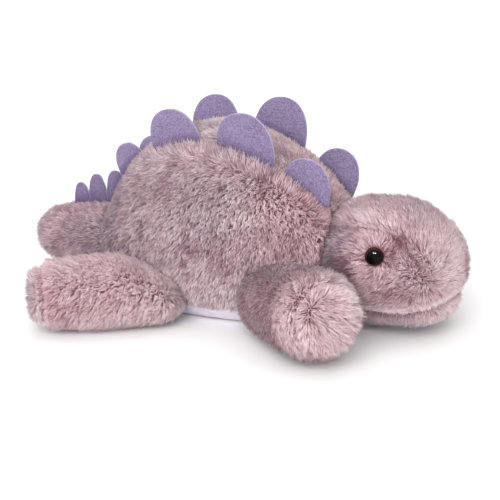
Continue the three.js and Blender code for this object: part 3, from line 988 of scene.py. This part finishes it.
chin = copy(shell, "chin_panel_cloth")
boolean(chin, lip_tool(0, False), "INTERSECT")
finish_piece(chin, "head", ["chin_panel"], "backing")
boolean(shell, lip_tool(0.3, True), "INTERSECT")
strip = copy(shell, "head_top_gusset_cloth")
boolean(strip, head_strip_tool(0, 50.0), "INTERSECT")
finish_piece(strip, "head", ["head_top_gusset"], "backing")
boolean(shell, head_strip_tool(0.3, 49.7), "DIFFERENCE")
for side_name, lo, hi in (("right", -250, -0.15), ("left", 0.15, 250)):
    half = copy(shell, f"head_side_{side_name}_cloth")
    boolean(half, box_mesh("tool", (-250, lo, -50), (250, hi, 250)), "INTERSECT")
    finish_piece(half, "head", [f"head_side_{side_name}"], "backing")
bpy.data.objects.remove(shell)
fill = head_solid("head_filling", SKIN + 4.4)
for side in (-1, 1):
    boolean(fill, egg_mesh("tool", (EYE[0], side * (EYE[1] - 6.5), EYE[2]), (8.2, 7.0, 8.2), 3.0), "DIFFERENCE")
remesh(fill, 3.2, 2)
lumpy(fill, 5)
finish_piece(fill, "head", ["head_stuffing"], "filling")

rng = np.random.default_rng(21)
p, n = HEAD_SKIN.grow(DENSITY * 1.12, rng, lambda m, nn: np.where(nn[:, 2] < -0.75, 0.6, 1.0) * (body_depth(m, 15.0) > 0))
gap = np.minimum(neighbours_gap(p, "head"), 99)
keep = gap > 0.5
eye_d = np.sqrt((p[:, 0] - EYE[0]) ** 2 + (p[:, 2] - EYE[2]) ** 2) + 99 * (np.abs(p[:, 1]) < 20)
keep &= eye_d > 5.3
p, n, gap, eye_d = p[keep], n[keep], gap[keep], eye_d[keep]
side = np.where(p[:, 1] < 0, -1.0, 1.0)
edge = head_edge(p)
top = (edge < 0) & (p[:, 2] > 50)
chin_m = over_lip(p) < 0
whorl = np.stack([np.full(len(p), 140.0), side * 29.5, np.full(len(p), 38.0)], 1)
from_whorl = p - whorl
w_d = np.linalg.norm(from_whorl, axis=1)
from_eye = np.stack([p[:, 0] - EYE[0], np.zeros(len(p)), p[:, 2] - EYE[2]], 1)
comb = unit(from_whorl) * 1.0
open_whorl = np.exp(-((w_d / 12.0) ** 2))
comb += np.array([-0.5, 0, 0.1])
e_w = np.exp(-((eye_d / 17.0) ** 2))[:, None]
comb = comb * (1 - e_w) + unit(from_eye) * e_w * 1.4
back = smooth((88 - p[:, 0]) / 12)[:, None]
comb = comb * (1 - back) + np.array([-0.5, 0, -0.8]) * back
comb = np.where(chin_m[:, None], np.array([-0.15, 0, -1.0]) + 0.5 * unit(p - np.array([110, 0, 20.0])), comb)
lip = np.exp(-((over_lip(p) - 3.2) / 2.8) ** 2) * (p[:, 0] > 92) * ~chin_m
comb = comb * (1 - lip[:, None]) + lip[:, None] * np.array([0.15, 0, -1.0])
length = 6.8 + 0.8 * top - 2.9 * lip - 2.0 * np.exp(-((eye_d - 4) / 3.5) ** 2)
length = np.where(chin_m, 5.6, length)
creased = np.exp(-((edge - 0.6) / 2.2) ** 2) * smooth((p[:, 2] - 46) / 6) * smooth((p[:, 0] - 72) / 10)
length = length * (1 - 0.45 * creased)
length = np.minimum(length, np.maximum(1.8, gap * 0.95))
mouth = np.exp(-((over_lip(p) + 1.2) / 1.8) ** 2) * (p[:, 0] > 90)
ridge = np.exp(-((edge + 3.5) / 2.0) ** 2) * (p[:, 2] > 48)
spec = speckle(p, 33)
front = smooth((p[:, 0] - 128) / 22)
crown = smooth((p[:, 2] - 66) / 12)
# darker parted patches ahead of the eye and low on the cheek
spots = ((121, 62, 8, 7, 1.0), (134, 51, 6, 7, 0.5), (92, 46, 7, 8, 0.9), (106, 42, 8, 7, 0.8), (117, 54, 4, 6, 0.6), (124, 36, 12, 5, 0.5))
patch = sum(k * np.exp(-(((p[:, 0] - x) / a) ** 2 + ((p[:, 2] - z) / b) ** 2)) for x, z, a, b, k in spots)
patch *= (np.abs(p[:, 1]) > 20) * smooth(0.75 + noise(p, 6.0, 91))
pale = np.exp(-(((p[:, 0] - 97.5) / 6) ** 2 + ((p[:, 2] - 58) / 9) ** 2)) * (np.abs(p[:, 1]) > 20)
# painted shade: low on the back of the head, by the neck crease, the pile is painted darker and greyer
nape = smooth((102 - p[:, 0]) / 20) * smooth((73 - p[:, 2]) / 8)
# painted light and shade: the mouth seam and the crease along the top strip are painted darker, and the roll beside
# that crease and the rolled upper lip are painted paler
tone = 0.58 + mottle(p, 43, 0.08, 0.10, 0.08) - 0.26 * spec * (1 - 0.7 * front) * (1 - 0.6 * crown)
tone += 0.24 * front - 0.09 * crown + 0.44 * lip - 0.42 * mouth - 0.50 * creased + 0.18 * ridge - 0.46 * patch + 0.14 * pale - 0.31 * nape
# painted shade: near the body, in the crease of the neck, the pile is painted darker
tone -= 0.26 * smooth((8 - body_depth(p, SKIN)) / 8)
tone = np.where(chin_m, tone + 0.08 + 0.16 * smooth((p[:, 0] - 122) / 24), tone)
hue = 0.75 - 0.5 * nape + 0.15 * front - 0.38 * crown + 0.30 * noise(p, 26.0, 53) + 0.2 * patch
hue = np.where(chin_m, hue - 0.35 * (1 - smooth((p[:, 0] - 122) / 24)), hue)
lean = 0.64 - 0.30 * creased + 0.3 * lip + 0.35 * np.exp(-((eye_d - 5) / 5.0) ** 2) - 0.15 * chin_m - 0.26 * open_whorl
f = tufts("head", p, n, comb, length, hue, tone, lean, rng, clump=1.9)
for name, m, slot in (
    ("head_top_gusset_pile", top & ~chin_m, "fur_top"),
    ("head_side_right_pile", ~top & ~chin_m & (p[:, 1] < 0), "fur_body"),
    ("head_side_left_pile", ~top & ~chin_m & (p[:, 1] >= 0), "fur_body"),
    ("chin_panel_pile", chin_m, "fur_body"),
):
    pile_object(name, {a: b[m] for a, b in f.items()}, rng, "head")
bpy.data.objects.remove(core)

# eyes: a thick-rimmed dome on its stem
for side_name, side in (("right", -1), ("left", 1)):
    prof = [(-3.4, 0), (-3.4, 2.0), (-3.3, 4.6), (-2.9, 5.3), (-2.1, 5.8), (-1.2, 6.0), (-0.4, 5.95), (0.3, 5.75)]
    prof += [(0.3 + 3.7 * math.sin(t), 5.75 * math.cos(t)) for t in np.radians(np.arange(10, 90, 8))] + [(4.0, 0)]
    q, faces = lathe(prof, 48)
    lens = np.stack([EYE[0] + q[:, 1], side * (EYE[1] + q[:, 0] * 1.0), EYE[2] + q[:, 2]], 1)
    faces = faces if side < 0 else [tuple(reversed(fc)) for fc in faces]
    eye = mesh_object(f"eye_{side_name}_dome", lens, faces)
    s, sf = lathe([(-11.0, 0), (-11.0, 1.6), (-10.6, 2.2), (-3.4, 2.2), (-3.2, 0)], 24)
    stem = mesh_object("tool", np.stack([EYE[0] + s[:, 1], side * (EYE[1] + s[:, 0]), EYE[2] + s[:, 2]], 1),
                       sf if side < 0 else [tuple(reversed(fc)) for fc in sf])
    boolean(eye, stem, "UNION")
    q = points_of(eye)
    # the pupil sits a little ahead of the middle, as the clear dome shows it
    ring = np.hypot(q[:, 0] - EYE[0] - 1.0, q[:, 2] - EYE[2] - 0.5) / 6.3
    ring = np.where(np.abs(q[:, 1]) < EYE[1] - 1.0, 1.0, ring)
    at = eye.data.attributes.new("ring", "FLOAT", "POINT")
    at.data.foreach_set("value", ring.astype(np.float32))
    eye.data.shade_smooth()
    finish_piece(eye, "head", [f"eye_{side_name}"], "eye")
    # the toothed washer that locks the stem, behind the cloth
    ring, rf = annulus([(-10.4, 2.35), (-10.4, 5.2), (-10.0, 5.6), (-9.4, 5.6), (-9.0, 5.2), (-9.0, 3.2), (-9.7, 2.35)], 32)
    washer = mesh_object(f"eye_washer_{side_name}_ring", np.stack([EYE[0] + ring[:, 1], side * (EYE[1] + ring[:, 0]), EYE[2] + ring[:, 2]], 1),
                         rf if side < 0 else [tuple(reversed(fc)) for fc in rf])
    finish_piece(washer, "head", [f"eye_washer_{side_name}"], "washer")


# ---- limbs ----------------------------------------------------------------------------------
def floor_clamp(ob, z):
    q = points_of(ob)
    q[:, 2] = np.maximum(q[:, 2], z)
    set_points(ob, q)


def sole_x(L):
    return L["len"] - 9.0


def limb_core(name, L, inset_extra=PUFF, seam_at=None):
    ob = limb_mesh(name, L, SKIN + inset_extra)

    def hold(q):
        if seam_at is None:
            return 0.8 * np.exp(-((q[:, 1]) / 3.5) ** 2)
        loc = turn(L, q, True)
        return 0.9 * np.exp(-((loc[:, 0] - seam_at) / 3.5) ** 2)

    puff(ob, 4.2, PUFF, hold)
    remesh(ob, 2.2, 1)
    return ob


for which, side_name, side in LEGS:
    L = placed(which, side)
    body = f"{which}_leg_{side_name}"
    rng = np.random.default_rng(30 + 2 * (which == "rear") + (side > 0))
    core = limb_core("leg_core", L, seam_at=sole_x(L))
    q, n = points_of(core), normals_of(core)
    loc = turn(L, q, True)
    r = np.hypot(loc[:, 1], loc[:, 2])
    onset = loc[:, 0] - sole_x(L)
    dent = 2.2 * np.exp(-((onset + 1.0) / 1.7) ** 2) - 1.5 * np.exp(-((onset - 3.2) / 2.4) ** 2) * (r > 10)
    dent += 0.6 * noise(q, 22.0, 61)
    set_points(core, q - n * dent[:, None])
    floor_clamp(core, 3.2)
    skin = Surface(core)
    shell = shell_of(core, "shell", 1.5)
    half = 140.0

    def cut_box(x0, x1):
        b = box_mesh("tool", (x0, -half, -half), (x1, half, half))
        set_points(b, turn(L, points_of(b)))
        return b

    sole = copy(shell, f"{body}_sole_cloth")
    boolean(sole, cut_box(sole_x(L) + 0.3, 300), "INTERSECT")
    finish_piece(sole, body, [f"{body}_sole"], "backing")
    sleeve = copy(shell, f"{body}_sleeve_cloth")
    boolean(sleeve, cut_box(-300, sole_x(L)), "INTERSECT")
    finish_piece(sleeve, body, [f"{body}_sleeve"], "backing")
    bpy.data.objects.remove(shell)
    fill = limb_mesh(f"{body}_filling", L, SKIN + 4.2, 32)
    remesh(fill, 3.6, 1)
    lumpy(fill, 7)
    floor_clamp(fill, 7.0)
    finish_piece(fill, body, [f"{body}_stuffing"], "filling")

    p, n = skin.grow(DENSITY * 1.05, rng, lambda m, nn: np.where(nn[:, 2] < -0.75, 0.55, 1.0) * (body_depth(m, 13.0) > 0))
    gap = np.minimum(body_depth(p, SKIN) + 4.0, neighbours_gap(p, which + side_name))
    keep = gap > -8
    p, n, gap = p[keep], n[keep], gap[keep]
    loc = turn(L, p, True)
    r = np.hypot(loc[:, 1], loc[:, 2])
    is_sole = loc[:, 0] > sole_x(L)
    axis = turn(L, np.array([[1.0, 0, 0]])) - turn(L, np.zeros((1, 3)))
    radial = unit(turn(L, np.stack([np.zeros(len(p)), loc[:, 1], loc[:, 2]], 1)) - turn(L, np.zeros((len(p), 3))))
    comb = axis * 0.8 + np.array([0, 0, -0.55]) + 0.35 * noise(p, 20.0, 73)[:, None] * np.array([1, 0, 0])
    # on the sole the pile lies outward from its middle
    off = 11.0 if which == "front" else 0.0
    centre = turn(L, np.array([[L["len"] - 3, side * off, 10.0 if which == "front" else 0.0]]))
    out = unit(p - centre)
    disc = smooth((onset_ := loc[:, 0] - sole_x(L)) / 4.0)[:, None]
    comb = comb * (1 - disc) + (out + np.array([0, 0, -0.25])) * disc
    length = 7.0 + (1.6 if which == "front" else 0.2) * disc[:, 0]
    length -= (3.4 if which == "rear" else 1.6) * np.exp(-((onset_ + 0.8) / 2.4) ** 2)
    length = np.minimum(length, np.maximum(2.0, np.where(gap < 4, gap + 1.0, 99)))
    spec = speckle(p, 35)
    # a wine band along the flank where the pile parts, paler along the top edge and low down; the paler low side is
    # painted light
    high = (p[:, 2] - L["z"]) / 24.0
    # painted shade in the groove at the sole seam (seamline), and a painted highlight on the raised roll just past it
    # (ridge)
    seamline = np.exp(-((onset_ + 1.0) / 1.4) ** 2)
    ridge = np.exp(-((onset_ - 3.0) / 2.0) ** 2)
    if which == "rear":
        band = np.exp(-((high - 0.1) / 0.42) ** 2) * smooth((loc[:, 0] - 8) / 20) * (1 - smooth((loc[:, 0] - 66) / 8))
        tone = 0.73 + mottle(p, 45, 0.08, 0.10, 0.08) - 0.12 * spec - 0.18 * band + 0.24 * smooth(-high - 0.1) - 0.05 * smooth(high)
        hue = 0.90 + 0.20 * noise(p, 22.0, 55) - 0.85 * disc[:, 0] * smooth((12 - r) / 6 + 0.4)
        tone = tone - 0.42 * disc[:, 0] * (1 - ridge) - 0.46 * seamline + 0.10 * ridge
    else:
        # painted light and shade: lit paints the shaft darker and greyer and the foot end paler, as the light falls on
        # the leg
        lit = smooth((onset_ + 24) / 18)
        tone = 0.26 + mottle(p, 45, 0.08, 0.10, 0.08) - 0.12 * spec + 0.48 * lit
        tone -= 0.24 * seamline * 0.6
        middle = np.exp(-(np.hypot(loc[:, 1] - side * off, loc[:, 2] - 8.0) / 10.0) ** 2) * disc[:, 0]
        tone = tone - 0.06 * middle * smooth(0.6 + noise(p, 4.0, 95)) + 0.05 * ridge
        hue = 0.35 + 0.60 * lit + 0.25 * noise(p, 22.0, 55)
    near = np.exp(-((np.linalg.norm(p - centre, axis=1) / 11.0) ** 2))
    lean = 0.76 - 0.06 * disc[:, 0] - 0.34 * np.exp(-((onset_ + 2.5) / 3.5) ** 2) - 0.5 * near * disc[:, 0]
    f = tufts("leg", p, n, comb, length, hue, tone, lean, rng, clump=1.9 if which == "rear" else 2.2)
    pile_object(f"{body}_sleeve_pile", {a: b[~is_sole] for a, b in f.items()}, rng, body)
    pile_object(f"{body}_sole_pile", {a: b[is_sole] for a, b in f.items()}, rng, body)
    bpy.data.objects.remove(core)

# ---- tail -----------------------------------------------------------------------------------
L = TAIL_LIMB
rng = np.random.default_rng(40)
core = limb_core("tail_core", L)
q, n = points_of(core), normals_of(core)
dent = 1.2 * np.exp(-(q[:, 1] / 1.8) ** 2) * (q[:, 2] < 35) + 0.7 * noise(q, 20.0, 63)
set_points(core, q - n * dent[:, None])
floor_clamp(core, 3.2)
skin = Surface(core)
shell = shell_of(core, "shell", 1.5)
for side_name, lo, hi in (("right", -250, -0.15), ("left", 0.15, 250)):
    half = copy(shell, f"tail_{side_name}_cloth")
    boolean(half, box_mesh("tool", (-250, lo, -50), (250, hi, 250)), "INTERSECT")
    finish_piece(half, "tail", [f"tail_{side_name}"], "backing")
bpy.data.objects.remove(shell)
fill = limb_mesh("tail_filling", L, SKIN + 4.2, 32)
remesh(fill, 3.6, 1)
lumpy(fill, 9)
finish_piece(fill, "tail", ["tail_stuffing"], "filling")
p, n = skin.grow(DENSITY * 1.05, rng, lambda m, nn: np.where(nn[:, 2] < -0.75, 0.55, 1.0) * (body_depth(m, 13.0) > 0))
gap = np.minimum(body_depth(p, SKIN) + 4.0, neighbours_gap(p, "tail"))
keep = gap > -8
p, n, gap = p[keep], n[keep], gap[keep]
loc = turn(L, p, True)
tipward = smooth((loc[:, 0] - 40) / 20)
comb = np.array([-0.9, 0, -0.35]) + 0.4 * noise(p, 18.0, 75)[:, None] * np.array([0, 0, 1.0])
length = 6.2 + 1.6 * tipward
length = np.minimum(length, np.maximum(2.0, np.where(gap < 4, gap + 1.0, 99))) * (1 - 0.35 * plate_room(p))
tone = 0.44 + mottle(p, 47, 0.10, 0.12, 0.08) - 0.32 * speckle(p, 37) + 0.08 * tipward
hue = 0.28 + 0.35 * noise(p, 22.0, 57)
f = tufts("tail", p, n, comb, length, hue, tone, np.full(len(p), 0.5), rng)
for name, m in (("tail_right_pile", p[:, 1] < 0), ("tail_left_pile", p[:, 1] >= 0)):
    pile_object(name, {a: b[m] for a, b in f.items()}, rng, "tail")
bpy.data.objects.remove(core)


# ---- felt plates ---------------------------------------------------------------------------
def bezier(a, b, c, d, n):
    t = np.linspace(0, 1, n)[:, None]
    return (1 - t) ** 3 * a + 3 * (1 - t) ** 2 * t * b + 3 * (1 - t) * t**2 * c + t**3 * d


def plate(name, node, P, side, body, seed):
    """A die-cut felt leaf: two faces with softened edges, faintly uneven."""
    r, h = P["w"] / 2, P["h"]
    V = lambda x, y: np.array([x, y], float)
    left = bezier(V(-0.86 * r, 0), V(-1.15 * r, 0.42 * h), V(-0.92 * r, h), V(0, h), 22)
    right = bezier(V(0, h), V(0.92 * r, h), V(1.15 * r, 0.42 * h), V(0.86 * r, 0), 22)
    foot = np.stack([np.linspace(0.86 * r, -0.86 * r, 14)[1:-1], np.zeros(12)], 1)
    if P.get("small"):  # the small ones have round shoulders
        a = np.linspace(0, math.pi / 2, 22)
        arch = np.stack([-r * np.cos(a) ** 0.8, h * np.sin(a)], 1)
        left, right = arch, arch[::-1] * np.array([-1, 1])
    line = np.concatenate([left, right[1:], foot])
    n = len(line)
    mid = V(0, 0.45 * h)
    nxt, prv = np.roll(line, -1, 0), np.roll(line, 1, 0)
    tang = unit(nxt - prv)
    inward = np.stack([tang[:, 1], -tang[:, 0]], 1)
    inward *= np.sign(((mid - line) * inward).sum(1))[:, None]
    t = FELT / 2
    rings = [(0.0, 0.0), (0.08, 0.45), (0.3, 0.75), (0.65, 0.93), (1.1, 1.0)]
    layers = [(line + inward * a, t * b) for a, b in rings]
    last = layers[-1][0]
    layers += [(mid + (last - mid) * s, t) for s in (0.86, 0.72, 0.58, 0.44, 0.3, 0.16)]
    pts, faces = [], []
    k = len(layers)
    for xy, z in layers:
        pts += [(x, z, y) for x, y in xy]
    pts.append((mid[0], t, mid[1]))
    top_mid = len(pts) - 1
    start = len(pts)
    for xy, z in layers[1:]:
        pts += [(x, -z, y) for x, y in xy]
    pts.append((mid[0], -t, mid[1]))
    low_mid = len(pts) - 1
    up = lambda a, i: a * n + i % n
    dn = lambda a, i: (up(0, i) if a == 0 else start + (a - 1) * n + i % n)
    for i in range(n):
        for a in range(k - 1):
            faces.append((up(a, i), up(a, i + 1), up(a + 1, i + 1), up(a + 1, i)))
            faces.append((dn(a, i + 1), dn(a, i), dn(a + 1, i), dn(a + 1, i + 1)))
        faces.append((up(k - 1, i), up(k - 1, i + 1), top_mid))
        faces.append((dn(k - 1, i + 1), dn(k - 1, i), low_mid))
    q = np.array(pts, float)
    height = q[:, 2] / h
    # the sheet bows a little, and its surface is felted, not flat
    bow = 0.9 * np.sin(height * 2.2 + seed) * height
    q[:, 1] += bow + 0.10 * noise(q + seed * 17.0, 5.0, 81) + 0.06 * np.sign(q[:, 1]) * noise(q + seed * 9.0, 1.8, 82)
    q[:, [0, 2]] += (0.14 * noise(np.stack([q[:, 0], q[:, 2], np.full(len(q), float(seed))], 1), 2.6, 83))[:, None]
    a = -math.radians(P["lean"])
    m1 = np.array([[math.cos(a), 0, math.sin(a)], [0, 1, 0], [-math.sin(a), 0, math.cos(a)]])
    b = side * -math.radians(P["out"])
    m2 = np.array([[1, 0, 0], [0, math.cos(b), -math.sin(b)], [0, math.sin(b), math.cos(b)]])
    q = q @ m1.T @ m2.T + np.array([P["x"], side * P["y"], P["z"]])
    ob = mesh_object(name, q, faces)
    d = np.minimum(body_depth(q, 0.0), limb_depth(TAIL_LIMB, q, 0.0))
    # painted shade: height runs from 0 at the pile's outline to 1 well clear of it, and the small plates keep some
    # painted shade all over
    shade_free = smooth((d + 2.0) / (0.55 * h)) * (0.35 if P.get("small") else 1.0)
    at = ob.data.attributes.new("height", "FLOAT", "POINT")
    at.data.foreach_set("value", shade_free.astype(np.float32))
    # painted highlight: rim marks the edge rings that felt_material paints paler
    rim = np.zeros(len(q))
    rim[: 2 * n] = 1.0
    rim[start : start + n] = 1.0
    at = ob.data.attributes.new("edge", "FLOAT", "POINT")
    at.data.foreach_set("value", rim.astype(np.float32))
    ob.data.shade_smooth()
    finish_piece(ob, body, [node], "felt")
    return ob


for i, P in enumerate(ROW):
    plate(f"plate_right_{i + 1}_felt", f"plate_right_{i + 1}", dict(P, lean=P["lean"] + [3, 6, 8, 9][i], x=P["x"] + [0, 1.2, 2.2, 0.5][i]), -1, "body", i)
    Q = dict(P, x=P["x"] + [1, 2.5, 0, 1][i], z=P["z"] - [1, 0, 0, 3.5][i])
    plate(f"plate_left_{i + 1}_felt", f"plate_left_{i + 1}", Q, 1, "body", i + 10)
for i, P in enumerate(TAIL_PLATES):
    P = dict(P, w=P["w"] * 1.22, small=True)
    plate(f"plate_tail_{i + 1}_felt", f"plate_tail_{i + 1}", P, 1, "body" if i == 2 else "tail", i + 20)

# ---- studio ------------------------------------------------------------------------------------
floor_me = bpy.data.meshes.new("floor")
floor_me.from_pydata([(-6, -6, 0), (6, -6, 0), (6, 6, 0), (-6, 6, 0)], [], [(0, 1, 2, 3)])
floor = bpy.data.objects.new("floor", floor_me)
scene.collection.objects.link(floor)
fm = Nodes("studio_floor", 0.9, **{"Specular IOR Level": 0.05})
fm.colour(fm.ramp(fm.noise(2.0), [(0.3, (0.93, 0.93, 0.93, 1)), (0.7, (0.95, 0.95, 0.95, 1))]))
floor_me.materials.append(fm.mat)

world = bpy.data.worlds.new("studio")
scene.world = world
world.use_nodes = True
world.node_tree.nodes["Background"].inputs["Color"].default_value = (1.0, 1.0, 1.0, 1)
world.node_tree.nodes["Background"].inputs["Strength"].default_value = 0.78


def aim(ob, at):
    from mathutils import Vector

    d = Vector(at) - ob.location
    ob.rotation_euler = d.to_track_quat("-Z", "Y").to_euler()


def lamp(name, kind, loc, at, energy, **facts):
    d = bpy.data.lights.new(name, kind)
    d.energy = energy
    for k, v in facts.items():
        setattr(d, k, v)
    o = bpy.data.objects.new(name, d)
    o.location = loc
    scene.collection.objects.link(o)
    aim(o, at)
    return o


key = lamp("key", "SUN", (0.15, -1.0, 0.66), (0, 0, 0.04), 2.3, angle=math.radians(50))
key.visible_glossy = False  # the broad light makes no veil on the eyes
lamp("top", "SUN", (-0.2, 0.1, 1.3), (0, 0, 0.04), 0.45, angle=math.radians(70))
for name, at, watt, size in (("eye_light", (0.30, -0.75, 0.62), 22.0, 0.08), ("eye_light_2", (0.02, -0.85, 0.62), 12.0, 0.07)):
    glint = lamp(name, "AREA", at, (0.1, -0.03, 0.06), watt, size=size)
    glint.visible_diffuse = False  # these two only make the glints

cam_data = bpy.data.cameras.new("camera")
cam = bpy.data.objects.new("camera", cam_data)
scene.collection.objects.link(cam)
cam.location = (0.32157, -0.69890, 0.27190)
aim(cam, (0.0104, 0.0, 0.038))
cam_data.sensor_width = 36.0
cam_data.lens = 84.67
cam_data.clip_start, cam_data.clip_end = 0.01, 50
scene.camera = cam
scene.view_settings.view_transform = "Standard"
scene.view_settings.look = "None"
